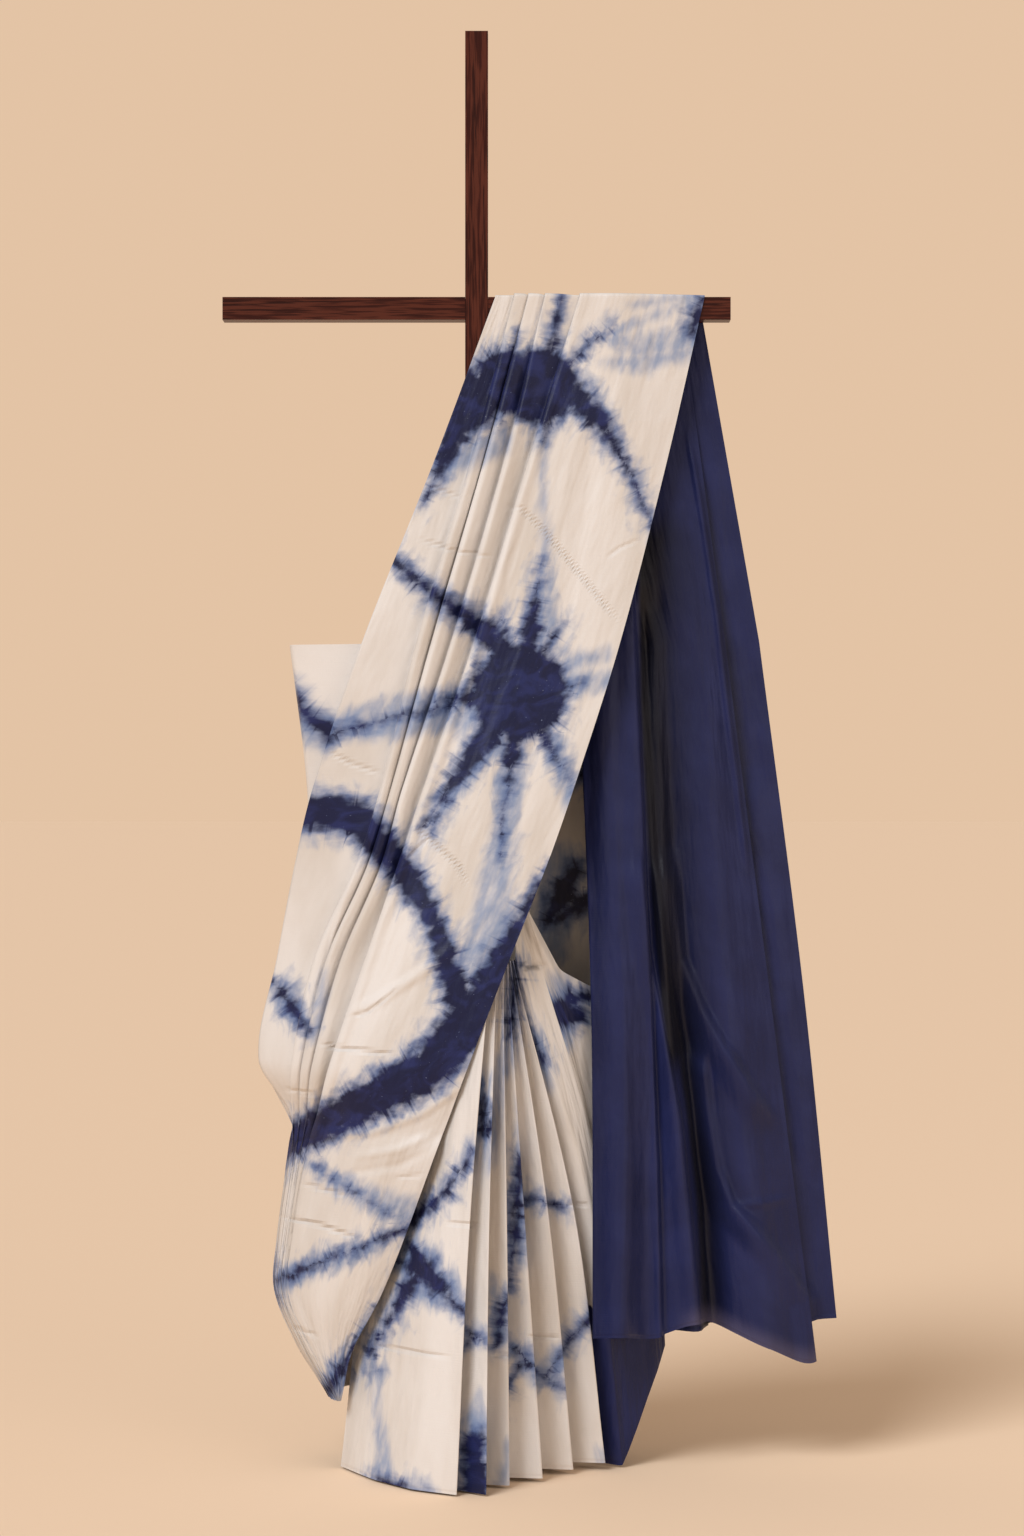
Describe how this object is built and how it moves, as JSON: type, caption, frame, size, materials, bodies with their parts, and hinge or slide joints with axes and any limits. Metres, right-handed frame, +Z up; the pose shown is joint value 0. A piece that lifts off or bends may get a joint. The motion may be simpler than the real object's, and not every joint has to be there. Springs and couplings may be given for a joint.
{
  "type": "shibori dyed saree draped on a wooden display stand",
  "caption": "Ivory and indigo shibori dyed silk saree with a plain navy end, pleated over the crossbar of a slim dark wooden stand and draped to the floor.",
  "frame": {"origin": "centre of the underside of the stand's crossed feet, below the post", "axes": "+Z up along the post, +X along the crossbar towards the pleated cloth, -Y towards the viewer"},
  "size_m": [0.9221, 0.4598, 2.145],
  "materials": {
    "dyed_silk": "smooth satin silk, ivory with indigo shibori dyeing",
    "dark_wood": "dark reddish brown varnished wood"
  },
  "bodies": {
    "root": {"saree_cloth": "dyed_silk", "stand_post": "dark_wood", "stand_crossbar": "dark_wood", "stand_lower_bar": "dark_wood", "stand_foot_across": "dark_wood", "stand_foot_deep": "dark_wood"}
  },
  "joints": []
}
